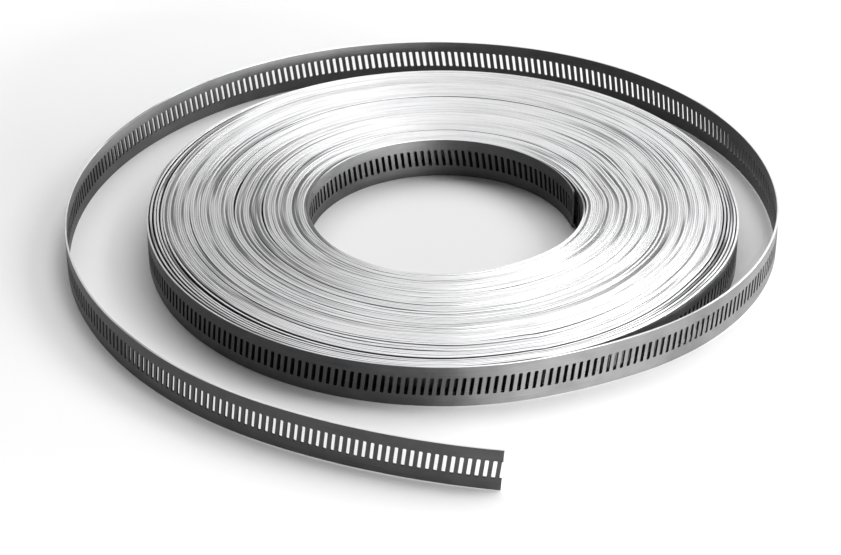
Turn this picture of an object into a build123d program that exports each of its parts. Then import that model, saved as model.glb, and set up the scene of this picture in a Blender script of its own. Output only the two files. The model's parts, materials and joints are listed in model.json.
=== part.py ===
"""A roll of perforated steel clamp band, lying flat, with its outermost turn sprung loose.

The band is one long strip with a row of leaning slots, in which the screw of a hose clamp runs.
It is wound round an open bore into a flat coil, which is one body here, and groups of turns that
have shifted up a little show as rings on both of its ends. The outermost turn lies on the coil as
a spiral that grows by one band thickness, leaves it at the peel angle, springs out, passes once
round the coil and ends at a cut through the middle of a slot. The slots are open in the loose
stretch, and in the turn that lies on the coil they are one band thickness deep. In plan the band
follows a chain of arcs in flat facets of two slots each, which stay within 0.03 mm of the arcs.
The frame's origin is the middle of the bore, on the surface that the roll lies on, with +Z up.
Lengths are in millimetres and angles in degrees, counted anticlockwise from +X.
"""

import os
from math import atan2, degrees, floor, radians, tan
from typing import NamedTuple

from build123d import *

# The band and its slots
BAND_WIDTH = 12.7
BAND_THICKNESS = 0.6
SLOT_PITCH = 2.17
SLOT_LENGTH = 5.5
SLOT_WIDTH = 1.05
SLOT_LEAN = 7.5
END_LEAN = 4.0

# The coil, whose radius is that of its outside where the loose stretch leaves it
COIL_RADIUS = 87.8
BORE_RADIUS = 39.8
PEEL_ANGLE = -72.0

# Groups of turns that have shifted up: inner radius, outer radius and shift
SHIFTED_GROUPS = (
    (BORE_RADIUS + 6.2, BORE_RADIUS + 17.7, 0.2),
    (COIL_RADIUS - 18.8, COIL_RADIUS - 9.8, 0.3),
)

# The loose stretch's bends, from the peel to its free end, as radius beyond the coil's and sweep
LOOSE_BENDS = ((57.2, 12.5), (1.7, 58.5), (13.7, 75.0), (20.2, 123.0), (38.2, 45.0), (106.2, 19.0))

# How far past the peel the crevice behind the loose stretch opens
CREVICE_LENGTH = 9.0

# The innermost turn's end, and how the turn that passes behind it swings out on its way there
INNER_END_ANGLE = 11.0
SWING_SWEEP = 85.0
SWING_WIDEST_ANGLE = -14.0
SWING_WIDEST = 2.3
SWING_AT_END = 1.4

FACET_SLOTS = 2
CUT_MARGIN = 0.1


class Bend(NamedTuple):
    """One arc of the band's centre line, swept anticlockwise from its start angle."""

    centre: Vector
    radius: float
    start: float
    sweep: float

    @property
    def length(self):
        return radians(self.sweep) * self.radius


def direction(angle):
    """The horizontal unit vector at an angle."""
    return Vector(1, 0).rotate(Axis.Z, angle)


def chain(start, bends):
    """Bends that follow one another without a corner, the first one round the origin."""
    joined = [Bend(Vector(0, 0, 0), bends[0][0], start, bends[0][1])]
    for radius, sweep in bends[1:]:
        last = joined[-1]
        start = last.start + last.sweep
        joined.append(Bend(last.centre + direction(start) * (last.radius - radius), radius, start, sweep))
    return joined


def total_length(bends):
    return sum(bend.length for bend in bends)


def station(distance, offset=0.0):
    """The place at a distance back from the free end, offset outwards, and the way outwards there."""
    for bend in reversed(band_path):
        if distance <= bend.length:
            break
        distance -= bend.length
    outward = direction(bend.start + bend.sweep - degrees(distance / bend.radius))
    return bend.centre + outward * (bend.radius + offset), outward


def slot_plane(distance):
    """A plane that faces outwards at mid-width, just outside the band, with its x towards the free end."""
    place, outward = station(distance, BAND_THICKNESS / 2 + CUT_MARGIN)
    return Plane(place + Vector(0, 0, BAND_WIDTH / 2), x_dir=outward.rotate(Axis.Z, 90), z_dir=outward)


def corner(index, offset):
    """A corner between two facets, which lies midway between two slots."""
    return station((index * FACET_SLOTS + 0.5) * SLOT_PITCH, offset)[0]


def slot_outline():
    """One slot's outline, leaning with its top towards the free end."""
    shift = tan(radians(SLOT_LEAN)) * SLOT_LENGTH / 2
    half_width, half_length = SLOT_WIDTH / 2, SLOT_LENGTH / 2
    with BuildSketch() as outline:
        with BuildLine():
            Polyline(
                (-half_width - shift, -half_length),
                (half_width - shift, -half_length),
                (half_width + shift, half_length),
                (-half_width + shift, half_length),
                close=True,
            )
        make_face()
    return outline.sketch


def end_outline():
    """What the free end's cut takes off: everything past a leaning line."""
    reach = BAND_WIDTH
    shift = tan(radians(END_LEAN)) * reach
    with BuildSketch() as outline:
        with BuildLine():
            Polyline((-shift, -reach), (reach, -reach), (reach, reach), (shift, reach), close=True)
        make_face()
    return outline.sketch


def bore_outline():
    """The bore, round but for the sweep where the second turn swings out to pass behind the innermost end."""
    end = direction(INNER_END_ANGLE)
    swing_angle = INNER_END_ANGLE - SWING_SWEEP
    with BuildSketch() as outline:
        with BuildLine():
            CenterArc((0, 0), BORE_RADIUS, INNER_END_ANGLE, 360 - SWING_SWEEP)
            widest = direction(SWING_WIDEST_ANGLE) * (BORE_RADIUS + SWING_WIDEST)
            out = TangentArc(direction(swing_angle) * BORE_RADIUS, widest, tangent=direction(swing_angle + 90))
            back = TangentArc(out @ 1, end * (BORE_RADIUS + SWING_AT_END), tangent=out % 1)
            Line(back @ 1, end * BORE_RADIUS)
        make_face()
    return outline.sketch


# The centre line of the turn on the coil, in quarters that grow, and of the loose stretch
first_radius = COIL_RADIUS - 1.5 * BAND_THICKNESS
quarters = [(first_radius + index * BAND_THICKNESS / 4, 90.0) for index in range(4)]
loose_bends = [(COIL_RADIUS + beyond, sweep) for beyond, sweep in LOOSE_BENDS]
band_path = chain(PEEL_ANGLE - 360, quarters + loose_bends)

# The facets up to the crevice, and those up to the place under it, where the coil's outside starts
half = BAND_THICKNESS / 2
facet_length = FACET_SLOTS * SLOT_PITCH
loose_facets = floor((total_length(band_path[4:]) - CREVICE_LENGTH) / facet_length - 0.5)
crevice = corner(loose_facets, -half)
crevice_angle = degrees(atan2(crevice.Y, crevice.X))
under_crevice = direction(crevice_angle) * (first_radius + half)
covered_start = radians(crevice_angle - PEEL_ANGLE) * first_radius
all_facets = floor((total_length(band_path) - covered_start) / facet_length - 0.5)

# The slots, counted back from the one that the free end's cut passes through
loose_slots = loose_facets * FACET_SLOTS
open_slots = [slot_plane(index * SLOT_PITCH) for index in range(loose_slots + 1)]
blind_slots = [slot_plane(index * SLOT_PITCH) for index in range(loose_slots + 1, all_facets * FACET_SLOTS + 1)]

slot, past_end, bore = slot_outline(), end_outline(), bore_outline()

with BuildPart() as clamp_band:
    # The coil and its outermost turn in plan
    with BuildSketch():
        with BuildLine():
            tip = [station(-SLOT_PITCH, side)[0] for side in (half, -half)]
            outside = [corner(index, half) for index in range(all_facets, -1, -1)]
            inside = [corner(index, -half) for index in range(loose_facets + 1)]
            Polyline(under_crevice, *outside, *tip, *inside, close=True)
        make_face()
    extrude(amount=BAND_WIDTH)

    # The groups of turns that have shifted up
    for inner_radius, outer_radius, shift_up in SHIFTED_GROUPS:
        for height, mode in ((0.0, Mode.SUBTRACT), (BAND_WIDTH, Mode.ADD)):
            with BuildSketch(Plane.XY.offset(height)):
                Circle(outer_radius)
                Circle(inner_radius, mode=Mode.SUBTRACT)
            extrude(amount=shift_up, mode=mode)

    # The bore
    with BuildSketch():
        add(bore)
    extrude(amount=BAND_WIDTH, mode=Mode.SUBTRACT)

    # The free end's cut
    with BuildSketch(slot_plane(0)):
        add(past_end)
    extrude(amount=-(BAND_THICKNESS + 2 * CUT_MARGIN), mode=Mode.SUBTRACT)

    # The slots of the loose stretch go right through, and those on the coil one thickness deep
    with BuildSketch(*open_slots):
        add(slot)
    extrude(amount=-(BAND_THICKNESS + 2 * CUT_MARGIN), mode=Mode.SUBTRACT)
    with BuildSketch(*blind_slots):
        add(slot)
    extrude(amount=-(BAND_THICKNESS + CUT_MARGIN), mode=Mode.SUBTRACT)

clamp_band.part.label = "clamp_band"

os.makedirs("parts", exist_ok=True)
export_step(clamp_band.part, "parts/clamp_band.step")
print(f"slots: {len(open_slots)} open, {len(blind_slots)} blind; crevice at radius {crevice.length:.2f}")
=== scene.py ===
"""Looks for a roll of perforated steel clamp band, lying flat, with its outermost turn sprung loose.

The whole roll is one strip. It is wound from its innermost end, in the bore, outwards: each turn lies
on the one before it, and what play the roll has is spread unevenly between them, so that some turns
touch and others stand apart. The turns that show from the side, in the bore and outside the coil, have
their row of slots. The outermost turn leaves the coil at the peel and passes once round it to the cut end.
Lengths are in metres, and angles in radians where nothing else is said. A place along the winding is
counted in turns from the innermost end.
"""

import json
import logging
from dataclasses import dataclass
from enum import Enum
from math import cos, pi, radians, sin, tan
from typing import Iterable, NamedTuple, Sequence, Union

import bmesh
import bpy
import numpy as np
from mathutils import Matrix, Vector


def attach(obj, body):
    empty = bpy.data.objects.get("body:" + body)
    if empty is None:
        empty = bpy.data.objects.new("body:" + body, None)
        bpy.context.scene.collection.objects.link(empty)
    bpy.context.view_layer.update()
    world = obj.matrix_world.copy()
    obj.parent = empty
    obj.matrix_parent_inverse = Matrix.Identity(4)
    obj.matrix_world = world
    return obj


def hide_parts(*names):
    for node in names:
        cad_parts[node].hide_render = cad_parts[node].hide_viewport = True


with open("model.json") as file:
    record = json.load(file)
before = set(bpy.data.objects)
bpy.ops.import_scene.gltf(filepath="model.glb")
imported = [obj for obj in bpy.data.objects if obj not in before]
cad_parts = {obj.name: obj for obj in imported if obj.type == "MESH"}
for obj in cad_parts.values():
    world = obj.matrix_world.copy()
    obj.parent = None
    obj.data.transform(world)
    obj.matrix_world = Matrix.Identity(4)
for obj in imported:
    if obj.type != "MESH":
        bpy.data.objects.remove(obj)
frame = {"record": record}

log = logging.getLogger("clamp_band")

MM = 0.001
TAU = 2 * pi
NODE = "clamp_band"
BODY = "root"
SLOT = "band_steel"

# The radius of the coil's outside at the peel, which no mount of the record states
COIL_RADIUS = 87.8 * MM


class Attribute(str, Enum):
    """What a band's mesh carries for its finish, by name."""

    TURN = "turn"
    ALONG = "along"
    ACROSS = "across"
    GRAIN = "grain"
    OUTWARD = "outward"
    # Above zero towards a slit edge, and below zero where a slot's walls get painted shade
    SLIT_EDGE_AND_SLOT_SHADE = "slit_edge"


Operand = Union["Field", float, int]


def enabled(sockets: Iterable[bpy.types.NodeSocket], name: str) -> bpy.types.NodeSocket:
    """The socket in use of a name that several may share."""
    return next(socket for socket in sockets if socket.name == name and socket.enabled)


class Field:
    """A value that flows through a node tree, which ordinary arithmetic combines."""

    def __init__(self, tree: "NodeTree", socket: bpy.types.NodeSocket) -> None:
        """Keep the tree and the socket that the value comes from."""
        self.tree = tree
        self.socket = socket

    def __add__(self, other: Operand) -> "Field":
        """The sum."""
        return self.tree.math("ADD", self, other)

    def __radd__(self, other: Operand) -> "Field":
        """The sum, with the plain number first."""
        return self.tree.math("ADD", other, self)

    def __sub__(self, other: Operand) -> "Field":
        """The difference."""
        return self.tree.math("SUBTRACT", self, other)

    def __rsub__(self, other: Operand) -> "Field":
        """The difference, with the plain number first."""
        return self.tree.math("SUBTRACT", other, self)

    def __mul__(self, other: Operand) -> "Field":
        """The product."""
        return self.tree.math("MULTIPLY", self, other)

    def __rmul__(self, other: Operand) -> "Field":
        """The product, with the plain number first."""
        return self.tree.math("MULTIPLY", other, self)

    def __truediv__(self, other: Operand) -> "Field":
        """The quotient."""
        return self.tree.math("DIVIDE", self, other)


class NodeTree:
    """A node tree under construction, with the nodes that geometry and finishes share."""

    def __init__(self, nodes: bpy.types.NodeTree) -> None:
        """Start on an existing tree.

        Args:
            nodes: The tree that the nodes are added to.
        """
        self.nodes = nodes

    def node(self, kind: str, **settings: object) -> bpy.types.Node:
        """Add a node.

        Args:
            kind: The node's type name.
            **settings: Properties of the node, by name.

        Returns:
            The new node.
        """
        made = self.nodes.nodes.new(kind)
        for name, value in settings.items():
            setattr(made, name, value)
        return made

    def feed(self, socket: bpy.types.NodeSocket, value: object) -> None:
        """Link a field to an input, or set the input to a plain value.

        Args:
            socket: The input.
            value: A field, a socket or a plain value.
        """
        if isinstance(value, Field):
            value = value.socket
        if isinstance(value, bpy.types.NodeSocket):
            self.nodes.links.new(value, socket)
        elif value is not None:
            socket.default_value = value

    def math(self, operation: str, *operands: Operand) -> Field:
        """Combine values by a named operation.

        Args:
            operation: The operation's name.
            *operands: Fields or plain numbers.

        Returns:
            The result.
        """
        made = self.node("ShaderNodeMath", operation=operation)
        for socket, value in zip(made.inputs, operands):
            self.feed(socket, value)
        return Field(self, made.outputs[0])

    def ramp(self, value: Operand, start: Operand, end: Operand, low: Operand, high: Operand) -> Field:
        """Pass smoothly from one level to another.

        Args:
            value: What the level depends on.
            start: The value at which the level leaves low.
            end: The value, above start, at which it reaches high.
            low: The level up to start.
            high: The level from end on.

        Returns:
            The level.
        """
        made = self.node("ShaderNodeMapRange", interpolation_type="SMOOTHSTEP")
        names = ("Value", "From Min", "From Max", "To Min", "To Max")
        for name, operand in zip(names, (value, start, end, low, high)):
            self.feed(made.inputs[name], operand)
        return Field(self, made.outputs[0])

    def bump(self, value: Operand, centre: Operand, reach: Operand, height: Operand) -> Field:
        """A smooth hump: height at the centre, and nothing further off than reach."""
        distance = self.math("ABSOLUTE", self.math("SUBTRACT", value, centre))
        return self.ramp(distance, 0.0, reach, height, 0.0)

    def vector(self, x: Operand, y: Operand, z: Operand) -> Field:
        """Join three values.

        Args:
            x: The first.
            y: The second.
            z: The third.

        Returns:
            The vector.
        """
        made = self.node("ShaderNodeCombineXYZ")
        for socket, value in zip(made.inputs, (x, y, z)):
            self.feed(socket, value)
        return Field(self, made.outputs[0])

    def parts(self, value: Field) -> tuple[Field, Field, Field]:
        """Part a vector.

        Args:
            value: The vector.

        Returns:
            Its three values.
        """
        made = self.node("ShaderNodeSeparateXYZ")
        self.feed(made.inputs[0], value)
        return tuple(Field(self, socket) for socket in made.outputs)

    def vector_math(self, operation: str, *operands: object) -> Field:
        """Combine vectors by a named operation.

        Args:
            operation: The operation's name.
            *operands: Vector fields, or the plain scale of a SCALE operation.

        Returns:
            The result.
        """
        made = self.node("ShaderNodeVectorMath", operation=operation)
        sockets = [socket for socket in made.inputs if socket.enabled]
        for socket, value in zip(sockets, operands):
            self.feed(socket, value)
        return Field(self, made.outputs[0])

    def noise(self, place: Field, seed: float, detail: float = 2.0, roughness: float = 0.5) -> Field:
        """Smooth noise about 0.5.

        Args:
            place: Where it is read, in units of its own size.
            seed: The fixed number that this noise is drawn with.
            detail: How many finer layers it has.
            roughness: How strong the finer layers are.

        Returns:
            The noise.
        """
        made = self.node("ShaderNodeTexNoise", noise_dimensions="4D")
        for name, value in (("W", seed), ("Scale", 1.0), ("Detail", detail), ("Roughness", roughness)):
            made.inputs[name].default_value = value
        self.feed(made.inputs["Vector"], place)
        return Field(self, made.outputs[0])


class Slope(NamedTuple):
    """A smooth passage from one level to another.

    Attributes:
        start: The value at which the level leaves low.
        end: The value at which it reaches high.
        low: The level up to start.
        high: The level from end on.
    """

    start: float
    end: float
    low: float
    high: float


class Pattern(NamedTuple):
    """A noise of one kind and size.

    Attributes:
        seed: The fixed number that it is drawn with.
        scale: How fast it changes along each of a place's three values.
        detail: How many finer layers it has.
        roughness: How strong the finer layers are.
    """

    seed: float
    scale: tuple[float, float, float]
    detail: float = 2.0
    roughness: float = 0.5

    def at(self, tree: NodeTree, *place: Operand) -> Field:
        """The pattern's value at a place."""
        scaled = (value * scale for value, scale in zip(place, self.scale))
        return tree.noise(tree.vector(*scaled), self.seed, self.detail, self.roughness)


class GeometryTree(NodeTree):
    """A geometry node tree with named inputs, which works on one mesh and gives one mesh."""

    def __init__(self, name: str) -> None:
        """Make an empty tree.

        Args:
            name: The tree's name.
        """
        super().__init__(bpy.data.node_groups.new(name, "GeometryNodeTree"))
        for side in ("INPUT", "OUTPUT"):
            self.nodes.interface.new_socket("Geometry", in_out=side, socket_type="NodeSocketGeometry")
        self.inlet = self.node("NodeGroupInput")
        self.outlet = self.node("NodeGroupOutput")
        self.settings: dict[str, object] = {}

    @property
    def geometry(self) -> bpy.types.NodeSocket:
        """The mesh that the tree works on."""
        return self.inlet.outputs[0]

    def input(self, name: str, kind: str, value: object) -> Field:
        """Add a named input.

        Args:
            name: The input's name.
            kind: Its socket's kind, such as Float, Int, Object or Material.
            value: What the modifier sets it to.

        Returns:
            The input as a field.
        """
        made = self.nodes.interface.new_socket(name, in_out="INPUT", socket_type=f"NodeSocket{kind}")
        self.settings[made.identifier] = value
        return Field(self, self.inlet.outputs[name])

    def size(self, name: str, value: float) -> Field:
        """Add a named size or other real number."""
        return self.input(name, "Float", value)

    def count(self, name: str, value: int) -> Field:
        """Add a named count."""
        return self.input(name, "Int", value)

    def through(
        self, kind: str, geometry: object, values: dict[str, object], **settings: object
    ) -> bpy.types.NodeSocket:
        """Pass geometry through one node.

        Args:
            kind: The node's type name.
            geometry: What goes into its first socket.
            values: The other inputs, by name.
            **settings: Properties of the node, by name.

        Returns:
            The node's first output.
        """
        made = self.node(kind, **settings)
        self.feed(made.inputs[0], geometry)
        for name, value in values.items():
            self.feed(enabled(made.inputs, name), value)
        return made.outputs[0]

    def shape_of(self, source: Field) -> bpy.types.NodeSocket:
        """The shape of an object input."""
        return enabled(self.through("GeometryNodeObjectInfo", source, {}).node.outputs, "Geometry")

    def finish(self, geometry: object, steel: Field) -> None:
        """End the tree.

        Args:
            geometry: What it gives.
            steel: The material that this gets.
        """
        geometry = self.through("GeometryNodeRealizeInstances", geometry, {})
        geometry = self.through("GeometryNodeSetMaterial", geometry, {"Material": steel})
        self.nodes.links.new(geometry, self.outlet.inputs[0])

    def store(
        self, geometry: object, attribute: Attribute, value: object, kind: str = "FLOAT"
    ) -> bpy.types.NodeSocket:
        """Store a value on the points as a named attribute."""
        values = {"Name": attribute.value, "Value": value}
        return self.through("GeometryNodeStoreNamedAttribute", geometry, values, data_type=kind)

    def named(self, attribute: Attribute, kind: str = "FLOAT") -> Field:
        """Read a named attribute.

        Args:
            attribute: The attribute.
            kind: Its data type.

        Returns:
            Its value.
        """
        made = self.node("GeometryNodeInputNamedAttribute", data_type=kind)
        made.inputs["Name"].default_value = attribute.value
        return Field(self, enabled(made.outputs, "Attribute"))

    def position(self) -> Field:
        """Where each point is."""
        return Field(self, self.node("GeometryNodeInputPosition").outputs[0])

    def index(self) -> Field:
        """Each point's number, from 0."""
        return Field(self, self.node("GeometryNodeInputIndex").outputs[0])

    def run(self, mesh: bpy.types.Mesh, name: str) -> bpy.types.Mesh:
        """Give the tree's result for a mesh as a plain mesh.

        Args:
            mesh: What the tree works on.
            name: The new mesh's name.

        Returns:
            The new mesh.
        """
        worker = bpy.data.objects.new(f"{name} worker", mesh)
        bpy.context.scene.collection.objects.link(worker)
        modifier = worker.modifiers.new(self.nodes.name, "NODES")
        modifier.node_group = self.nodes
        for identifier, value in self.settings.items():
            modifier[identifier] = value
        graph = bpy.context.evaluated_depsgraph_get()
        made = bpy.data.meshes.new_from_object(
            worker.evaluated_get(graph), preserve_all_data_layers=True, depsgraph=graph
        )
        made.name = name
        worker.modifiers.remove(modifier)
        bpy.data.objects.remove(worker)
        return made


@dataclass(frozen=True)
class Strip:
    """The band's section and its row of slots.

    Attributes:
        width: The band's width.
        thickness: Its thickness.
        corner: How far its corners are broken by the slitting.
        pitch: From one slot to the next.
        slot_length: A slot's length, across the band.
        slot_width: Its width, along the band.
        slot_corner: The radius of its corners.
        slot_lean: How far it leans, with its top towards the free end.
        end_lean: How far the cut at the free end leans the same way.
    """

    width: float
    thickness: float = 0.6 * MM
    corner: float = 0.09 * MM
    pitch: float = 2.17 * MM
    slot_length: float = 5.5 * MM
    slot_width: float = 1.05 * MM
    slot_corner: float = 0.3 * MM
    slot_lean: float = radians(7.5)
    end_lean: float = radians(4.0)

    CORNER_STEPS = 3

    def section(self) -> list[tuple[float, float]]:
        """Draw the section, from the front's lower corner up and round.

        Returns:
            Its eight corners, as outward place and height.
        """
        half, high, broken = self.thickness / 2, self.width / 2, self.corner
        front = [(half, broken - high), (half, high - broken), (half - broken, high)]
        back = [(-y, z) for y, z in reversed(front)]
        return [*front, *back, (broken - half, -high), (half - broken, -high)]

    def slot_outline(self) -> list[tuple[float, float]]:
        """Draw a slot's outline, anticlockwise from its lower right corner.

        Returns:
            Its points, as place along the band and height.
        """
        half_width = self.slot_width / 2 - self.slot_corner
        half_length = self.slot_length / 2 - self.slot_corner
        sides = ((1, -1), (1, 1), (-1, 1), (-1, -1))
        centres = [(half_width * side, half_length * end) for side, end in sides]
        points = []
        for quarter, (x, z) in enumerate(centres):
            for step in range(self.CORNER_STEPS + 1):
                angle = (quarter - 1 + step / self.CORNER_STEPS) * pi / 2
                points.append((x + self.slot_corner * cos(angle), z + self.slot_corner * sin(angle)))
        return [(x - z * tan(self.slot_lean), z) for x, z in points]


class CellMaker:
    """Builds the perforated band's two cells: one slot's length of band, and its cut end."""

    # The section's corners from which slit edges run on, and each side's lower and upper ones
    EDGE_CORNERS = (1, 2, 3, 5, 6, 7)
    FRONT_CORNERS = (0, 1)
    BACK_CORNERS = (5, 4)

    def __init__(self, strip: Strip) -> None:
        """Keep the strip that the cells are cut from.

        Args:
            strip: The band's sizes.
        """
        self.strip = strip

    def ring(self, mesh: bmesh.types.BMesh, place: float, lean: float = 0.0) -> list[bmesh.types.BMVert]:
        """Add one section's corners.

        Args:
            mesh: The mesh they go into.
            place: The place along the band at mid-width.
            lean: The angle by which the section's top leans towards the free end.

        Returns:
            The corners, in the section's order.
        """
        return [mesh.verts.new((place - z * tan(lean), y, z)) for y, z in self.strip.section()]

    def outline(
        self, mesh: bmesh.types.BMesh, points: Iterable[tuple[float, float]], side: int
    ) -> list[bmesh.types.BMVert]:
        """Add an outline's points on the front, where side is 1, or on the back, where it is -1."""
        return [mesh.verts.new((x, side * self.strip.thickness / 2, z)) for x, z in points]

    def edges(self, mesh: bmesh.types.BMesh, near: Sequence, far: Sequence) -> None:
        """Close the slit edges between two sections.

        Args:
            mesh: The mesh that the faces go into.
            near: One section's corners.
            far: The other's.
        """
        for corner in self.EDGE_CORNERS:
            after = (corner + 1) % len(near)
            mesh.faces.new((near[corner], near[after], far[after], far[corner]))

    def finish(self, mesh: bmesh.types.BMesh, name: str) -> bpy.types.Object:
        """Turn a cell into an object that the trees can read.

        Args:
            mesh: The cell.
            name: The object's name.

        Returns:
            The object, which the scene doesn't show.
        """
        data = bpy.data.meshes.new(name)
        mesh.to_mesh(data)
        mesh.free()
        return bpy.data.objects.new(name, data)

    def slot_cell(self) -> bpy.types.Object:
        """Build one pitch of band with its slot.

        Returns:
            The cell's object.
        """
        mesh = bmesh.new()
        near, far = self.ring(mesh, -self.strip.pitch / 2), self.ring(mesh, self.strip.pitch / 2)
        self.edges(mesh, near, far)
        points = self.strip.slot_outline()
        steps = self.strip.CORNER_STEPS
        # Each side is two faces, which meet at the slot's lower right and upper left corners
        low_right, high_left = steps // 2, 2 * (steps + 1) + steps // 2
        rims = {}
        for side, (low, high) in ((1, self.FRONT_CORNERS), (-1, self.BACK_CORNERS)):
            rim = rims[side] = self.outline(mesh, points, side)
            right = rim[low_right: high_left + 1]
            left = rim[high_left:] + rim[: low_right + 1]
            mesh.faces.new((near[high], *reversed(right), far[low], far[high]))
            mesh.faces.new((near[high], *left, far[low], near[low]))
        for index in range(len(points)):
            mesh.faces.new((rims[1][index - 1], rims[1][index], rims[-1][index], rims[-1][index - 1]))
        return self.finish(mesh, "slot cell")

    def end_cell(self) -> bpy.types.Object:
        """Build the cut end, whose cut passes through a slot and leaves a notch.

        Returns:
            The cell's object.
        """
        mesh = bmesh.new()
        strip = self.strip
        cut, far = self.ring(mesh, 0.0, strip.end_lean), self.ring(mesh, strip.pitch / 2)
        self.edges(mesh, cut, far)
        reach = strip.slot_length / 2
        arcs = strip.slot_outline()[: 2 * (strip.CORNER_STEPS + 1)]
        notch = [(reach * tan(strip.end_lean), -reach), *arcs, (-reach * tan(strip.end_lean), reach)]
        front, back = self.outline(mesh, notch, 1), self.outline(mesh, notch, -1)
        for rim, (low, high) in ((front, self.FRONT_CORNERS), (back, self.BACK_CORNERS)):
            mesh.faces.new((far[low], far[high], cut[high], *reversed(rim), cut[low]))
        # The cut face is two faces, above and below the notch
        (low, high), (back_low, back_high) = self.FRONT_CORNERS, self.BACK_CORNERS
        mesh.faces.new((front[-1], *cut[high: back_high + 1], back[-1]))
        mesh.faces.new((front[0], cut[low], *reversed(cut[back_low:]), back[0]))
        for index in range(1, len(notch)):
            mesh.faces.new((front[index - 1], front[index], back[index], back[index - 1]))
        return self.finish(mesh, "end cell")


class OpenGap(NamedTuple):
    """A place where two turns stand apart.

    Attributes:
        turn: The turn outside it, counted outwards from 1, or back from the last lap from 0 down.
        angle: Its middle's angle in degrees.
        sweep: Its sweep in degrees.
        width: Its width in the middle.
    """

    turn: int
    angle: float
    sweep: float
    width: float


class RaisedTurns(NamedTuple):
    """Turns that have shifted up together.

    Attributes:
        first: The first of them.
        last: The last of them.
        height: How far up they are.
    """

    first: float
    last: float
    height: float


@dataclass(frozen=True)
class Winding:
    """How the wound turns lie on one another.

    Attributes:
        bore_radius: The radius inside the first turn.
        coil_radius: The radius outside the last turn, where it leaves the coil.
        thickness: The band's thickness.
        laps: How many whole turns lie between the innermost end's angle and the last time round to it.
        end_angle: The angle at which the innermost end lies.
        peel_angle: The angle at which the outermost turn leaves the coil.
        growth: How much the radius grows over the last turn.
        swing_start: How far past the innermost end the first turn starts to swing out, in turns.
        swing_widest: How far past it the swing is widest, in turns.
        swing_width: How far out it is there.
        swing_at_end: How far out it is where it reaches the innermost end.
        unevenness: How much more of the play falls on a crest than elsewhere.
        ripple: How unevenly the turns stand in height.
    """

    bore_radius: float
    coil_radius: float
    thickness: float
    laps: int = 73
    end_angle: float = radians(11.0)
    peel_angle: float = radians(-72.0)
    growth: float = 0.65 * MM
    swing_start: float = 275.0 / 360
    swing_widest: float = 335.0 / 360
    swing_width: float = 2.3 * MM
    swing_at_end: float = 1.4 * MM
    unevenness: float = 6.0
    ripple: float = 0.30 * MM

    STATIONS = 360

    # A twentieth of a station, which keeps rounding from counting a station in the lap before
    NUDGE = 0.05 / STATIONS

    # How tight the turns are at the back, and how much of the play is left at the front, by the angle's sine
    BACK_TIGHTNESS = Slope(0.2, 0.85, 0.0, 1.0)
    FRONT_PLAY = Slope(-0.95, -0.5, 0.4, 1.0)
    PLAY_LOST_AT_BACK = 0.98

    # The play's crests, over a place on the unit circle and the turn
    FINE_PLAY = Pattern(11.0, (0.8, 0.8, 1.6), detail=1.0)
    BROAD_PLAY = Pattern(4.0, (0.9, 0.9, 1.7), detail=1.0)
    BROAD_WEIGHT = 0.5
    CREST_RANGE = (0.82, 1.0)
    LEAST_SHARE = 0.05

    # The turns' own height, which settles over the last turn, and how far a group's rise reaches in turns
    SWAY = Pattern(17.0, (0.7, 0.7, 2.3), detail=1.5)
    SWAY_FLOOR = 0.45
    SWAY_GAIN = 3
    SWAY_LOST_AT_BACK = 0.8
    SETTLING = (1.3, 0.9)
    RISE = 0.3

    GAPS = (
        OpenGap(1, 5.0, 75.0, 0.80 * MM),
        OpenGap(2, 3.0, 30.0, 0.55 * MM),
        OpenGap(0, 200.0, 130.0, 0.50 * MM),
        OpenGap(-1, 195.0, 140.0, 0.60 * MM),
        OpenGap(-2, 205.0, 130.0, 0.30 * MM),
        OpenGap(-1, 348.0, 100.0, 0.35 * MM),
        OpenGap(-2, 335.0, 120.0, 0.35 * MM),
        OpenGap(-3, 172.0, 100.0, 0.60 * MM),
        OpenGap(-3, 235.0, 90.0, 0.40 * MM),
        OpenGap(-3, 325.0, 110.0, 0.50 * MM),
        OpenGap(-4, 222.0, 90.0, 0.90 * MM),
        OpenGap(-4, 285.0, 90.0, 0.25 * MM),
        OpenGap(-4, 345.0, 90.0, 0.50 * MM),
        OpenGap(-5, 225.0, 80.0, 0.50 * MM),
        OpenGap(-5, 262.0, 100.0, 0.70 * MM),
        OpenGap(-5, 312.0, 90.0, 0.40 * MM),
        OpenGap(-5, 350.0, 80.0, 0.40 * MM),
    )
    RAISED = (RaisedTurns(9.6, 27.3, 0.2 * MM), RaisedTurns(45.0, 58.9, 0.3 * MM))

    @property
    def turns(self) -> float:
        """The whole winding's length in turns, from the innermost end to the peel."""
        return self.laps + (self.peel_angle - self.end_angle) % TAU / TAU

    def gap_centre(self, gap: OpenGap) -> float:
        """Where a gap's middle lies along the winding.

        Args:
            gap: The gap.

        Returns:
            Its place in turns.
        """
        part = (radians(gap.angle) - self.end_angle) % TAU / TAU
        if gap.turn > 0:
            return gap.turn + (part if part < 0.5 else part - 1)
        return self.laps + gap.turn + part

    def first_turn(self, tree: GeometryTree, part: Field) -> Field:
        """Add the first turn's radius.

        Args:
            tree: The tree.
            part: How far past the innermost end's angle a point is, in turns.

        Returns:
            The radius at mid-thickness.
        """
        bore = tree.size("First Radius", self.bore_radius + self.thickness / 2)
        swing = tree.ramp(part, self.swing_start, self.swing_widest, 0.0, self.swing_width)
        lost_by_end = self.swing_width - self.swing_at_end
        back = tree.ramp(part, self.swing_widest, 2.0 - self.swing_widest, 0.0, 2 * lost_by_end)
        return bore + swing - back

    def named_gaps(self, tree: GeometryTree, turn: Field) -> Field:
        """Add up the named gaps' widths at a point, which is their part of the gap inside it."""
        width = 0.0
        for gap in self.GAPS:
            width = tree.bump(turn, self.gap_centre(gap), gap.sweep / 360 / 2, gap.width) + width
        return width

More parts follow.
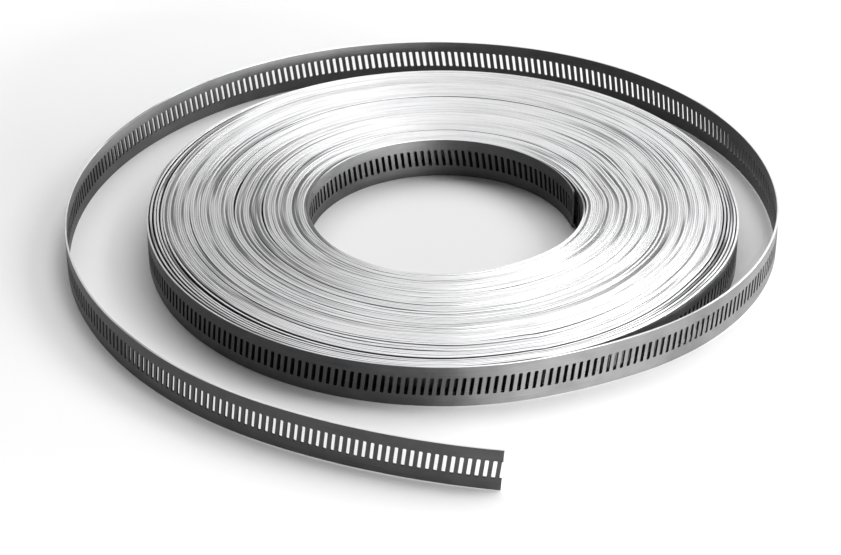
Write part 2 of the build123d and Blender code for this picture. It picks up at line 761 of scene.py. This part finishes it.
    def share(self, tree: GeometryTree, around: tuple[Field, Field, Field], tight: Field) -> Field:
        """Add the share of the play that falls on the gap inside a point, beside the others' shares.

        Args:
            tree: The tree.
            around: The point's place on the unit circle, and its turn.
            tight: How tight the turns are there.

        Returns:
            The share.
        """
        play = tree.size("Unevenness", self.unevenness)
        slack = (1.0 - tight * self.PLAY_LOST_AT_BACK) * tree.ramp(around[1], *self.FRONT_PLAY) * play
        crests = self.FINE_PLAY.at(tree, *around) + self.BROAD_PLAY.at(tree, *around) * self.BROAD_WEIGHT
        return tree.ramp(crests, *self.CREST_RANGE, 0.0, slack) + self.LEAST_SHARE

    def height(self, tree: GeometryTree, around: tuple[Field, Field, Field], tight: Field) -> Field:
        """Add how far up a point lies, with its group and by itself.

        Args:
            tree: The tree.
            around: The point's place on the unit circle, and its turn.
            tight: How tight the turns are there.

        Returns:
            The height.
        """
        ripple = tree.size("Unevenness of Height", self.ripple)
        turn = around[2]
        height = 0.0
        for raised in self.RAISED:
            up, down = (
                tree.ramp(turn, place - self.RISE, place + self.RISE, 0.0, raised.height)
                for place in (raised.first, raised.last)
            )
            height = up - down + height
        settled = tree.ramp(turn, *(self.turns - before for before in self.SETTLING), 1.0, 0.0)
        sway = (self.SWAY.at(tree, *around) - self.SWAY_FLOOR) * ripple * self.SWAY_GAIN
        return height + tree.math("MAXIMUM", sway, 0.0) * settled * (1.0 - tight * self.SWAY_LOST_AT_BACK)

    @staticmethod
    def sums(tree: GeometryTree, value: Field, group: Field) -> tuple[Field, Field]:
        """Add a value up over the points of one group.

        Args:
            tree: The tree.
            value: The value.
            group: The number of a point's group.

        Returns:
            Its sum up to each point, and its whole sum.
        """
        node = tree.node("GeometryNodeAccumulateField", data_type="FLOAT", domain="POINT")
        tree.feed(node.inputs["Value"], value)
        tree.feed(node.inputs["Group ID"], group)
        return Field(tree, node.outputs["Leading"]), Field(tree, node.outputs["Total"])

    def tree(self) -> GeometryTree:
        """Build the tree that lays the turns on one another.

        Each point's radius is the first turn's at that angle, with one thickness for each turn since,
        the gaps that are named here, and its share of the rest of the play.

        Returns:
            The tree, whose result is a line of points, one for each station.
        """
        tree = GeometryTree("Winding")
        stations = tree.count("Stations per Turn", self.STATIONS)
        turns = tree.size("Turns", self.turns)
        coil = tree.size("Last Radius", self.coil_radius - self.thickness / 2)
        thickness = tree.size("Thickness", self.thickness)
        growth = tree.size("Growth", self.growth)

        turn = tree.index() / stations
        lap = tree.math("FLOOR", turn + self.NUDGE)
        part = turn - lap
        angle = turn * TAU + self.end_angle
        x, y = tree.math("COSINE", angle), tree.math("SINE", angle)
        tight = tree.ramp(y, *self.BACK_TIGHTNESS)

        station = tree.math("ROUND", part * stations)
        beyond_first = tree.math("GREATER_THAN", lap, 0.5)
        named, all_named = self.sums(tree, self.named_gaps(tree, turn) * beyond_first, station)
        share, all_shares = self.sums(tree, self.share(tree, (x, y, turn), tight) * beyond_first, station)

        first = self.first_turn(tree, part)
        last_lap = tree.math("FLOOR", turns - part + self.NUDGE)
        last_radius = coil - growth * (turns - part - last_lap)
        rest = tree.math("MAXIMUM", last_radius - first - last_lap * thickness - all_named, 0.0)
        radius = first + lap * thickness + named + share / all_shares * rest
        place = tree.vector(x * radius, y * radius, self.height(tree, (x, y, turn), tight))

        line = tree.node("GeometryNodeMeshLine")
        tree.feed(line.inputs["Count"], tree.math("FLOOR", turns * stations) + 1)
        moved = tree.through("GeometryNodeSetPosition", line.outputs[0], {"Position": place})
        tree.nodes.links.new(moved, tree.outlet.inputs[0])
        return tree

    def lay(self) -> "Path":
        """Lay the turns.

        Returns:
            The centre line of the winding's mid-thickness, at its lower edge, from the innermost end out.
        """
        mesh = self.tree().run(bpy.data.meshes.new("start"), "winding")
        points = np.empty(len(mesh.vertices) * 3, np.float32)
        mesh.vertices.foreach_get("co", points)
        points = points.reshape(-1, 3).astype(float)
        bpy.data.meshes.remove(mesh)
        return Path(points, np.arange(len(points)) / self.STATIONS)

    def at(self, laid: "Path", turn: np.ndarray) -> np.ndarray:
        """Places along the laid turns.

        Args:
            laid: The laid turns.
            turn: Where along the winding, in turns.

        Returns:
            The places, one row for each.
        """
        radius = np.interp(turn, laid.turn, np.hypot(laid.points[:, 0], laid.points[:, 1]))
        height = np.interp(turn, laid.turn, laid.points[:, 2])
        angle = self.end_angle + turn * TAU
        return np.column_stack((radius * np.cos(angle), radius * np.sin(angle), height))


@dataclass(frozen=True)
class Path:
    """A line that a stretch of band follows.

    Attributes:
        points: Its places, one row for each.
        turn: How far along the winding each one is, in turns.
    """

    points: np.ndarray
    turn: np.ndarray

    def tangent(self) -> np.ndarray:
        """The way along the line at each point."""
        ahead = np.gradient(self.points[:, :2], axis=0)
        ahead /= np.linalg.norm(ahead, axis=1, keepdims=True)
        return np.column_stack((ahead, np.zeros(len(ahead))))

    def mesh(self, name: str, outward_side: int) -> bpy.types.Mesh:
        """Turn the line into a mesh of vertices and edges that carries what the trees read.

        Args:
            name: The mesh's name.
            outward_side: 1 where outwards is to the right of the way along, and -1 where it is to the left.

        Returns:
            The mesh.
        """
        data = bpy.data.meshes.new(name)
        count = len(self.points)
        data.from_pydata(self.points.tolist(), [(index, index + 1) for index in range(count - 1)], [])
        grain = self.tangent()
        outward = outward_side * np.column_stack((grain[:, 1], -grain[:, 0], grain[:, 2]))
        steps = np.linalg.norm(np.diff(self.points, axis=0), axis=1)
        along = np.concatenate(([0.0], np.cumsum(steps)))
        for attribute, values in ((Attribute.GRAIN, grain), (Attribute.OUTWARD, outward)):
            layer = data.attributes.new(attribute.value, "FLOAT_VECTOR", "POINT")
            layer.data.foreach_set("vector", values.astype(np.float32).ravel())
        for attribute, values in ((Attribute.TURN, self.turn), (Attribute.ALONG, along)):
            layer = data.attributes.new(attribute.value, "FLOAT", "POINT")
            layer.data.foreach_set("value", values.astype(np.float32))
        return data


class Bend(NamedTuple):
    """One arc of the loose stretch.

    Attributes:
        beyond: Its radius beyond the coil's.
        sweep: Its sweep in degrees.
    """

    beyond: float
    sweep: float


@dataclass(frozen=True)
class LooseRun:
    """The loose stretch's line, from the peel round the coil to the cut end.

    Attributes:
        coil_radius: The coil's outer radius at the peel.
        thickness: The band's thickness.
        peel_angle: Where the stretch leaves the coil.
    """

    coil_radius: float
    thickness: float
    peel_angle: float

    BENDS = (
        Bend(57.2 * MM, 12.5),
        Bend(1.7 * MM, 58.5),
        Bend(13.7 * MM, 75.0),
        Bend(20.2 * MM, 123.0),
        Bend(38.2 * MM, 45.0),
        Bend(106.2 * MM, 19.0),
    )

    @property
    def length(self) -> float:
        """The stretch's length."""
        return sum((self.coil_radius + bend.beyond) * radians(bend.sweep) for bend in self.BENDS)

    def at(self, distance: np.ndarray) -> np.ndarray:
        """Places along the stretch.

        Args:
            distance: How far from the peel, which may run a little past the cut end.

        Returns:
            The places, one row for each.
        """
        angle = self.peel_angle
        end = (self.coil_radius - self.thickness / 2) * np.exp(1j * angle)
        places = np.zeros(len(distance), complex)
        left = distance.copy()
        for number, bend in enumerate(self.BENDS):
            radius = self.coil_radius + bend.beyond
            centre = end - radius * np.exp(1j * angle)
            here = left >= 0 if number else np.ones(len(left), bool)
            places[here] = centre + radius * np.exp(1j * (angle + left[here] / radius))
            left = left - radius * radians(bend.sweep)
            angle += radians(bend.sweep)
            end = centre + radius * np.exp(1j * angle)
        return np.column_stack((places.real, places.imag, np.zeros(len(places))))


@dataclass(frozen=True)
class BandSteel:
    """Cold-rolled stainless strip: bright where it was slit, and smoother on its rolled faces, which are
    painted dark to stand in for the dark reflections they show.

    Attributes:
        edge_colour: The slit edges' reflectance.
        painted_shade_face_colour: The rolled faces' reflectance, set low as painted shade for their dark
            reflections.
        slot_wall_shade_tone: How far the slots' own walls are darkened beside the rolled faces, as painted
            shade in the slots.
        edge_scatter: How much of the light the torn, slit edges scatter all ways.
        edge_roughness: How rough the slit edges are.
        face_roughness: How rough the rolled faces are.
        grain: How much more a face scatters across its grain than along it.
    """

    edge_colour: float = 0.86
    # The rolled faces' low reflectance is painted shade, standing in for dark reflections
    painted_shade_face_colour: float = 0.135
    slot_wall_shade_tone: float = 0.25
    edge_scatter: float = 0.35
    edge_roughness: float = 0.60
    face_roughness: float = 0.55
    grain: float = 0.74

    # Over the roll's plan and the turn: dull arcs and finer streaks
    ARCS = Pattern(1.0, (14.0, 14.0, 1.7), roughness=0.6)
    STREAKS = Pattern(2.0, (34.0, 34.0, 7.0))
    ARC_RANGE = (0.38, 0.50)
    STREAK_TONES = Slope(0.25, 0.6, 0.8, 1.0)

    # Painted shade on the slit edges: the arcs darker the further they lie to either side, where the
    # highlight is weaker, and the whole edge darker towards the left, away from the light
    PAINTED_SIDE_SHADE = Slope(0.3, 0.95, 0.9, 0.28)
    PAINTED_LEFT_SHADE = Slope(-0.9, -0.2, 0.74, 1.0)

    # Along and across the band: rolling marks and smudges
    ROLLING = Pattern(3.0, (60.0, 5000.0, 0.0), detail=3.0)
    SMUDGES = Pattern(5.0, (130.0, 160.0, 0.0), detail=3.0)
    ROLLING_TONES = Slope(0.2, 0.8, 0.85, 1.15)
    SMUDGE_TONES = Slope(0.3, 0.7, 0.85, 1.1)
    SMUDGE_ROUGHNESS = Slope(0.3, 0.7, -0.03, 0.05)

    # How much more blue than red the steel gives back, and how its grain turns and stands
    BLUENESS = 1.01
    QUARTER_TURN = 0.25
    UPRIGHT_GRAIN = 0.02

    def edge_tone_and_shade(self, tree: NodeTree) -> Field:
        """Add the slit edges' reflectance, with painted shade: the arcs darker to either side and the whole
        edge darker towards the left.

        Args:
            tree: The material's tree.

        Returns:
            The reflectance, with the painted shade.
        """
        turn = self.read(tree, Attribute.TURN)
        x, y, _ = tree.parts(Field(tree, tree.node("ShaderNodeTexCoord").outputs["Object"]))
        rightward = x / tree.math("SQRT", x * x + y * y)
        # Painted shade: the dull arcs are painted darker towards the left and right sides, where the
        # highlight is weaker
        painted_side_shade = tree.ramp(tree.math("ABSOLUTE", rightward), *self.PAINTED_SIDE_SHADE)
        arcs = tree.ramp(self.ARCS.at(tree, x, y, turn), *self.ARC_RANGE, painted_side_shade, 1.0)
        streaks = tree.ramp(self.STREAKS.at(tree, x, y, turn), *self.STREAK_TONES)
        # Painted shade: the whole edge is darker towards the left, away from the light
        return arcs * streaks * tree.ramp(rightward, *self.PAINTED_LEFT_SHADE) * self.edge_colour

    def material(self) -> bpy.types.Material:
        """Build the finish.

        Returns:
            The material, which reads the band's own attributes.
        """
        made = bpy.data.materials.new("band steel")
        made.use_nodes = True
        tree = NodeTree(made.node_tree)
        shader = made.node_tree.nodes["Principled BSDF"]
        shader.inputs["Anisotropic"].default_value = self.grain
        shader.inputs["Anisotropic Rotation"].default_value = self.QUARTER_TURN

        part = self.read(tree, Attribute.SLIT_EDGE_AND_SLOT_SHADE)
        edge = tree.math("MAXIMUM", part, 0.0)
        painted_slot_shade = tree.math("MAXIMUM", part * -1, 0.0)
        place = (self.read(tree, Attribute.ALONG), self.read(tree, Attribute.ACROSS), 0.0)
        rolling, smudge = self.ROLLING.at(tree, *place), self.SMUDGES.at(tree, *place)
        face_tone = tree.ramp(rolling, *self.ROLLING_TONES) * tree.ramp(smudge, *self.SMUDGE_TONES)
        # The rolled faces are painted dark as shade for their dark reflections, beneath the rolling marks
        # and smudges
        face_tone = face_tone * self.painted_shade_face_colour

        tone = face_tone + (self.edge_tone_and_shade(tree) - face_tone) * edge
        # Painted shade: the slots' own walls are darkened, as if in shadow
        tone = tone * (1.0 - painted_slot_shade * (1.0 - self.slot_wall_shade_tone))
        tree.feed(shader.inputs["Base Color"], tree.vector(tone, tone, tone * self.BLUENESS))
        tree.feed(shader.inputs["Metallic"], 1.0 - edge * self.edge_scatter)
        rough = tree.ramp(smudge, *self.SMUDGE_ROUGHNESS) + self.face_roughness
        rough = rough + (self.edge_roughness - self.face_roughness) * edge
        tree.feed(shader.inputs["Roughness"], rough)

        # The small upright part gives the cut ends, which the grain meets square on, a grain too
        upright = tree.vector(0.0, 0.0, self.UPRIGHT_GRAIN)
        grain = self.read(tree, Attribute.GRAIN, "Vector")
        tree.feed(shader.inputs["Tangent"], tree.vector_math("ADD", grain, upright))
        return made

    @staticmethod
    def read(tree: NodeTree, attribute: Attribute, output: str = "Fac") -> Field:
        """Read one of the band's attributes in a material."""
        return Field(tree, tree.node("ShaderNodeAttribute", attribute_name=attribute.value).outputs[output])


class Dresser:
    """Turns finished meshes into pieces of the roll."""

    # How fast a face brightens as it turns from the rolled face to the sheared edge
    BRIGHTENING = 2.5

    # The angle from which a corner is shaded as a sharp one
    SHARP_ANGLE = radians(30)

    def __init__(self, strip: Strip, body: str, node: str, slot: str) -> None:
        """Keep what every piece of the roll says.

        Args:
            strip: The band's sizes.
            body: The body that the pieces ride on.
            node: The node that they stand for.
            slot: The record's material slot, which is kept but not used.
        """
        self.strip = strip
        self.body = body
        self.node = node
        self.slot = slot

    def dress(self, name: str, mesh: bpy.types.Mesh) -> bpy.types.Object:
        """Close, orient and shade a mesh, and make it a piece.

        Args:
            name: The piece's name.
            mesh: Its mesh.

        Returns:
            The piece.
        """
        work = bmesh.new()
        work.from_mesh(mesh)
        open_edges = [edge for edge in work.edges if edge.is_boundary]
        bmesh.ops.holes_fill(work, edges=open_edges, sides=0)
        bmesh.ops.recalc_face_normals(work, faces=work.faces)
        outward = work.verts.layers.float_vector[Attribute.OUTWARD.value]
        across = work.verts.layers.float[Attribute.ACROSS.value]
        bright = work.loops.layers.float.new(Attribute.SLIT_EDGE_AND_SLOT_SHADE.value)
        slot_reach = self.strip.slot_length / 2 + self.strip.corner
        # A face's mark is above zero towards a slit edge, where the steel is slit, and below zero in a slot,
        # where it gives the slot's walls painted shade
        for face in work.faces:
            face.smooth = True
            off_face = 1.0 - abs(face.normal.dot(face.verts[0][outward]))
            in_slot = max(abs(vert[across]) for vert in face.verts) < slot_reach
            for loop in face.loops:
                loop[bright] = -off_face if in_slot else min(off_face * self.BRIGHTENING, 1.0)
        work.to_mesh(mesh)
        work.free()
        mesh.set_sharp_from_angle(angle=self.SHARP_ANGLE)
        mesh.name = name
        piece = bpy.data.objects.new(name, mesh)
        bpy.context.scene.collection.objects.link(piece)
        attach(piece, self.body)
        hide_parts(self.node)
        mesh.calc_loop_triangles()
        log.info("%s: %d faces, %d triangles", name, len(mesh.polygons), len(mesh.loop_triangles))
        return piece


@dataclass(frozen=True)
class PlainTurns:
    """The turns between the bore and the outside of the coil, of which only the slit edges show.

    Attributes:
        strip: The band's sizes.
        winding: How the turns lie.
        first: Where the stretch starts, in turns.
        last: Where it ends.
        stations: How many sections each turn has.
    """

    strip: Strip
    winding: Winding
    first: float
    last: float
    stations: int = 180

    def path(self, laid: Path) -> Path:
        """The line of the stretch at mid-width."""
        turn = np.linspace(self.first, self.last, round((self.last - self.first) * self.stations) + 1)
        points = self.winding.at(laid, turn)
        points[:, 2] += self.strip.width / 2
        return Path(points, turn)

    def tree(self, finish: bpy.types.Material) -> GeometryTree:
        """Build the tree that draws the band's section along a line.

        Args:
            finish: The band's material.

        Returns:
            The tree.
        """
        tree = GeometryTree("Plain band")
        width = tree.size("Width", self.strip.width)
        thickness = tree.size("Thickness", self.strip.thickness)
        corner = tree.size("Broken Corner", self.strip.corner)
        steel = tree.input("Finish", "Material", finish)
        line = tree.through("GeometryNodeMeshToCurve", tree.geometry, {})
        line = tree.through("GeometryNodeSetCurveNormal", line, {}, mode="Z_UP")
        shape = tree.node("GeometryNodeCurvePrimitiveQuadrilateral")
        tree.feed(shape.inputs["Width"], thickness)
        tree.feed(shape.inputs["Height"], width)
        broken = {"Radius": corner, "Count": 1}
        section = tree.through("GeometryNodeFilletCurve", shape.outputs[0], broken, mode="POLY")
        section = tree.store(section, Attribute.ACROSS, tree.parts(tree.position())[1] * -1)
        drawn = tree.through("GeometryNodeCurveToMesh", line, {"Profile Curve": section, "Fill Caps": True})
        tree.finish(drawn, steel)
        return tree

    def build(self, laid: Path, finish: bpy.types.Material, dresser: Dresser) -> bpy.types.Object:
        """Build the stretch.

        Args:
            laid: The laid turns.
            finish: The band's material.
            dresser: What makes it a piece.

        Returns:
            The piece.
        """
        line = self.path(laid).mesh("plain line", outward_side=1)
        return dresser.dress("wound_turns", self.tree(finish).run(line, "wound turns"))


@dataclass(frozen=True)
class PerforatedBand:
    """A stretch of band whose slots show.

    Attributes:
        name: The piece's name.
        strip: The band's sizes.
        slots: How many whole slots it has.
        cut_end: Whether it starts with the cut end.
    """

    name: str
    strip: Strip
    slots: int
    cut_end: bool

    STEPS_PER_SLOT = 2
    SPARE_STEPS = 2

    # How close two cells' corners lie that become one
    WELD = 0.01 * MM

    # What the band takes over from its line
    CARRIED = (
        (Attribute.TURN, "FLOAT"),
        (Attribute.ALONG, "FLOAT"),
        (Attribute.GRAIN, "FLOAT_VECTOR"),
        (Attribute.OUTWARD, "FLOAT_VECTOR"),
    )

    @property
    def length(self) -> float:
        """Its length along the band."""
        return (self.slots + (0.5 if self.cut_end else 0.0)) * self.strip.pitch

    def distances(self) -> np.ndarray:
        """Where its line has points, with a few to spare at both ends."""
        step = self.strip.pitch / self.STEPS_PER_SLOT
        count = round(self.length / step) + 2 * self.SPARE_STEPS
        return (np.arange(count + 1) - self.SPARE_STEPS) * step

    def row(self, tree: GeometryTree, maker: CellMaker) -> bpy.types.NodeSocket:
        """Add the straight row of slots, with the cut end at its start if it has one.

        Args:
            tree: The tree.
            maker: What builds the cells.

        Returns:
            The row.
        """
        pitch = self.strip.pitch
        slots = tree.count("Slots", self.slots)
        spacing = tree.size("Pitch", pitch)
        first = tree.size("First Slot", pitch if self.cut_end else pitch / 2)
        cell = tree.input("Slot Cell", "Object", maker.slot_cell())
        end = tree.input("End Cell", "Object", maker.end_cell() if self.cut_end else None)

        places = tree.node("GeometryNodeMeshLine")
        tree.feed(places.inputs["Count"], slots)
        tree.feed(places.inputs["Start Location"], tree.vector(first, 0.0, 0.0))
        tree.feed(places.inputs["Offset"], tree.vector(spacing, 0.0, 0.0))
        cells = {"Instance": tree.shape_of(cell)}
        row = tree.through("GeometryNodeInstanceOnPoints", places.outputs[0], cells)
        row = tree.through("GeometryNodeRealizeInstances", row, {})
        joined = tree.node("GeometryNodeJoinGeometry")
        for part in (tree.shape_of(end), row):
            tree.nodes.links.new(part, joined.inputs[0])
        return tree.through("GeometryNodeMergeByDistance", joined.outputs[0], {"Distance": self.WELD})

    def tree(self, finish: bpy.types.Material, maker: CellMaker) -> GeometryTree:
        """Build the tree that repeats the slot and bends the row along a line.

        Args:
            finish: The band's material.
            maker: What builds the cells.

        Returns:
            The tree.
        """
        tree = GeometryTree("Perforated band")
        band = self.row(tree, maker)
        step = tree.size("Line's Step", self.strip.pitch / self.STEPS_PER_SLOT)
        spare = tree.count("Spare Steps", self.SPARE_STEPS)
        steel = tree.input("Finish", "Material", finish)

        x, y, z = tree.parts(tree.position())
        band = tree.store(band, Attribute.ACROSS, z)
        number = x / step + spare
        below = tree.math("FLOOR", number)
        part = number - below
        for attribute, kind in self.CARRIED:
            value = self.sample(tree, tree.named(attribute, kind), kind, below, part)
            band = tree.store(band, attribute, value, kind)
        place = self.sample(tree, tree.position(), "FLOAT_VECTOR", below, part)
        across = tree.vector_math("SCALE", tree.named(Attribute.OUTWARD, "FLOAT_VECTOR"), y)
        bent = tree.vector_math("ADD", tree.vector_math("ADD", place, across), tree.vector(0.0, 0.0, z))
        tree.finish(tree.through("GeometryNodeSetPosition", band, {"Position": bent}), steel)
        return tree

    @staticmethod
    def sample(tree: GeometryTree, value: Field, kind: str, below: Field, part: Field) -> Field:
        """Read a value on the line between two of its points.

        Args:
            tree: The tree.
            value: What is read there.
            kind: Its data type.
            below: The number of the point before the place.
            part: How far the place is towards the next one.

        Returns:
            The value at the place.
        """
        ends = []
        for number in (below, below + 1):
            node = tree.node("GeometryNodeSampleIndex", data_type=kind, domain="POINT", clamp=True)
            tree.nodes.links.new(tree.geometry, node.inputs["Geometry"])
            tree.feed(enabled(node.inputs, "Value"), value)
            tree.feed(node.inputs["Index"], number)
            ends.append(Field(tree, next(s for s in node.outputs if s.enabled)))
        if kind == "FLOAT":
            return ends[0] + (ends[1] - ends[0]) * part
        change = tree.vector_math("SUBTRACT", ends[1], ends[0])
        return tree.vector_math("ADD", ends[0], tree.vector_math("SCALE", change, part))

    def build(self, line: Path, finish: bpy.types.Material, dresser: Dresser) -> bpy.types.Object:
        """Build the stretch.

        Args:
            line: The line at its distances, at the band's lower edge.
            finish: The band's material.
            dresser: What makes it a piece.

        Returns:
            The piece.
        """
        raised = Path(line.points + (0.0, 0.0, self.strip.width / 2), line.turn)
        tree = self.tree(finish, CellMaker(self.strip))
        band = tree.run(raised.mesh(f"{self.name} line", outward_side=-1), self.name)
        return dresser.dress(self.name, band)


@dataclass(frozen=True)
class Roll:
    """The whole roll.

    Attributes:
        strip: The band's sizes.
        winding: How the wound turns lie.
        loose: The loose stretch's line.
        outer_turns: How many of the coil's outermost turns have slots.
        outer_slots: How many slots each of them has.
        bore_turns: How many of its innermost turns have slots.
        bore_slots: How many slots each of those has.
    """

    strip: Strip
    winding: Winding
    loose: LooseRun
    outer_turns: int = 5
    outer_slots: int = 252
    bore_turns: int = 6
    bore_slots: int = 117

    def outer_line(self, laid: Path, band: PerforatedBand) -> Path:
        """The line from the cut end round the loose stretch and into the coil.

        Args:
            laid: The laid turns.
            band: The stretch that follows it.

        Returns:
            The line.
        """
        left = self.loose.length - band.distances()
        turn = self.winding.turns + left / (self.outer_slots * self.strip.pitch)
        points = self.loose.at(left)
        wound = left < 0
        points[wound] = self.winding.at(laid, turn[wound])
        return Path(points, turn)

    def bore_line(self, laid: Path, band: PerforatedBand) -> Path:
        """The line from inside the coil to the innermost end.

        Args:
            laid: The laid turns.
            band: The stretch that follows it.

        Returns:
            The line, which runs straight on past the end.
        """
        left = band.length - band.distances()
        turn = left / (self.bore_slots * self.strip.pitch)
        points = self.winding.at(laid, np.maximum(turn, 0.0))
        past = turn < 0
        first, second = points[~past][-1], points[~past][-2]
        points[past] = first + (first - second) * (np.arange(past.sum())[:, None] + 1)
        return Path(points, turn)

    def build(self, finish: bpy.types.Material, dresser: Dresser) -> list[bpy.types.Object]:
        """Build every piece of the roll.

        Args:
            finish: The band's material.
            dresser: What makes each mesh a piece.

        Returns:
            The pieces.
        """
        laid = self.winding.lay()
        pitch = self.strip.pitch
        outer_slots = int(self.loose.length / pitch + self.outer_turns * self.outer_slots)
        outer = PerforatedBand("outer_turns", self.strip, outer_slots, cut_end=True)
        bore = PerforatedBand("bore_turns", self.strip, self.bore_turns * self.bore_slots, cut_end=False)
        joint = self.winding.turns + (self.loose.length - outer.length) / (self.outer_slots * pitch)
        plain = PlainTurns(self.strip, self.winding, float(self.bore_turns), joint)
        return [
            outer.build(self.outer_line(laid, outer), finish, dresser),
            plain.build(laid, finish, dresser),
            bore.build(self.bore_line(laid, bore), finish, dresser),
        ]


@dataclass(frozen=True)
class Lamp:
    """A soft rectangular lamp that points at the roll.

    Attributes:
        name: The lamp's name.
        azimuth: Its direction from the roll in degrees, anticlockwise from +X.
        elevation: Its height above the floor as an angle in degrees.
        distance: How far off it is.
        width: Its width.
        height: Its height.
        power: Its power in watts.
    """

    name: str
    azimuth: float
    elevation: float
    distance: float
    width: float
    height: float
    power: float

    def build(self) -> bpy.types.Object:
        """Hang the lamp.

        Returns:
            The lamp's object.
        """
        data = bpy.data.lights.new(self.name, "AREA")
        data.shape = "RECTANGLE"
        data.size, data.size_y, data.energy = self.width, self.height, self.power
        lamp = bpy.data.objects.new(self.name, data)
        azimuth, elevation = radians(self.azimuth), radians(self.elevation)
        away = Vector((cos(azimuth) * cos(elevation), sin(azimuth) * cos(elevation), sin(elevation)))
        turned = away.to_track_quat("Z", "Y").to_matrix().to_4x4()
        lamp.matrix_world = Matrix.Translation(away * self.distance) @ turned
        bpy.context.scene.collection.objects.link(lamp)
        return lamp


@dataclass(frozen=True)
class Studio:
    """The pale floor, the lamps, the surroundings and the camera.

    Attributes:
        floor_size: The floor's width and depth.
        floor_drop: How far it lies below the roll.
        floor_tone: Its reflectance.
        floor_roughness: How rough it is.
        horizon_tone: How bright the surroundings are up to the horizon's upper edge.
        sky_tone: How bright they are above it.
        camera_place: Where the camera stands.
        camera_pitch: How far down it looks.
        camera_yaw: How far to the right of +Y it looks.
        camera_roll: How far its top leans to the left.
        focal_pixels: Its focal length in the photo's pixels.
        picture_width: The photo's width in pixels.
        sensor_width: The camera's sensor width, which goes with its lens.
    """

    floor_size: float = 12.0
    floor_drop: float = 0.1 * MM
    floor_tone: float = 0.90
    floor_roughness: float = 0.9
    horizon_tone: float = 0.80
    sky_tone: float = 0.10
    camera_place: tuple[float, float, float] = (0.0, -0.6345, 0.3771)
    camera_pitch: float = radians(31.59)
    camera_yaw: float = radians(-0.594)
    camera_roll: float = radians(-0.365)
    focal_pixels: float = 2460.3
    picture_width: float = 841.0
    sensor_width: float = 36.0

    LAMPS = (
        Lamp("key", 0.0, 40.0, 2.6, 1.0, 1.0, 22.0),
        Lamp("back", 75.0, 58.0, 2.8, 4.0, 2.4, 82.0),
        Lamp("front side", -50.0, 5.5, 2.4, 2.5, 0.42, 150.0),
        Lamp("right side", 12.0, 5.5, 2.4, 2.5, 0.42, 80.0),
    )

    # The sines of the angles between which the horizon fades into the sky
    HORIZON = (0.06, 0.10)

    def floor(self) -> bpy.types.Object:
        """Lay the floor.

        Returns:
            The floor.
        """
        half = self.floor_size / 2
        data = bpy.data.meshes.new("floor")
        corners = [(-half, -half), (half, -half), (half, half), (-half, half)]
        data.from_pydata([(x, y, -self.floor_drop) for x, y in corners], [], [(0, 1, 2, 3)])
        finish = bpy.data.materials.new("pale floor")
        finish.use_nodes = True
        shader = finish.node_tree.nodes["Principled BSDF"]
        shader.inputs["Base Color"].default_value = (self.floor_tone,) * 3 + (1.0,)
        shader.inputs["Roughness"].default_value = self.floor_roughness
        shader.inputs["Specular IOR Level"].default_value = 0.0
        data.materials.append(finish)
        made = bpy.data.objects.new("floor", data)
        bpy.context.scene.collection.objects.link(made)
        return made

    def world(self) -> None:
        """Surround the roll with a pale horizon under a dim sky."""
        world = bpy.data.worlds.new("studio")
        bpy.context.scene.world = world
        world.use_nodes = True
        tree = NodeTree(world.node_tree)
        upward = tree.parts(Field(tree, tree.node("ShaderNodeTexCoord").outputs["Generated"]))[2]
        background = world.node_tree.nodes["Background"]
        background.inputs["Color"].default_value = (1.0, 1.0, 1.0, 1.0)
        strength = tree.ramp(upward, *self.HORIZON, self.horizon_tone, self.sky_tone)
        tree.feed(background.inputs["Strength"], strength)

    def camera(self) -> bpy.types.Object:
        """Set up the camera at the picture's viewing angle.

        Returns:
            The camera.
        """
        pitch, yaw, roll = self.camera_pitch, self.camera_yaw, self.camera_roll
        ahead = Vector((sin(yaw) * cos(pitch), cos(yaw) * cos(pitch), -sin(pitch)))
        level = ahead.cross(Vector((0, 0, 1))).normalized()
        upright = level.cross(ahead)
        right = level * cos(roll) + upright * sin(roll)
        up = upright * cos(roll) - level * sin(roll)
        data = bpy.data.cameras.new("camera")
        data.sensor_width = self.sensor_width
        data.lens = self.focal_pixels * self.sensor_width / self.picture_width
        camera = bpy.data.objects.new("camera", data)
        turned = Matrix((right, up, -ahead)).transposed().to_4x4()
        camera.matrix_world = Matrix.Translation(self.camera_place) @ turned
        bpy.context.scene.collection.objects.link(camera)
        bpy.context.scene.camera = camera
        return camera

    def build(self) -> None:
        """Set up the whole studio."""
        self.floor()
        self.world()
        for lamp in self.LAMPS:
            lamp.build()
        self.camera()
        bpy.context.scene.view_settings.view_transform = "Standard"


def main() -> None:
    """Build the roll and the studio."""
    logging.basicConfig(level=logging.INFO, format="%(name)s: %(message)s")
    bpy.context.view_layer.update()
    bore = next(mount for mount in frame["record"]["mounts"] if mount["name"] == "bore")["dims"]
    strip = Strip(width=bore["length_mm"] * MM)
    winding = Winding(bore["r_mm"] * MM, COIL_RADIUS, strip.thickness)
    loose = LooseRun(COIL_RADIUS, strip.thickness, winding.peel_angle)
    Roll(strip, winding, loose).build(BandSteel().material(), Dresser(strip, BODY, NODE, SLOT))
    Studio().build()


if __name__ == "__main__":
    main()
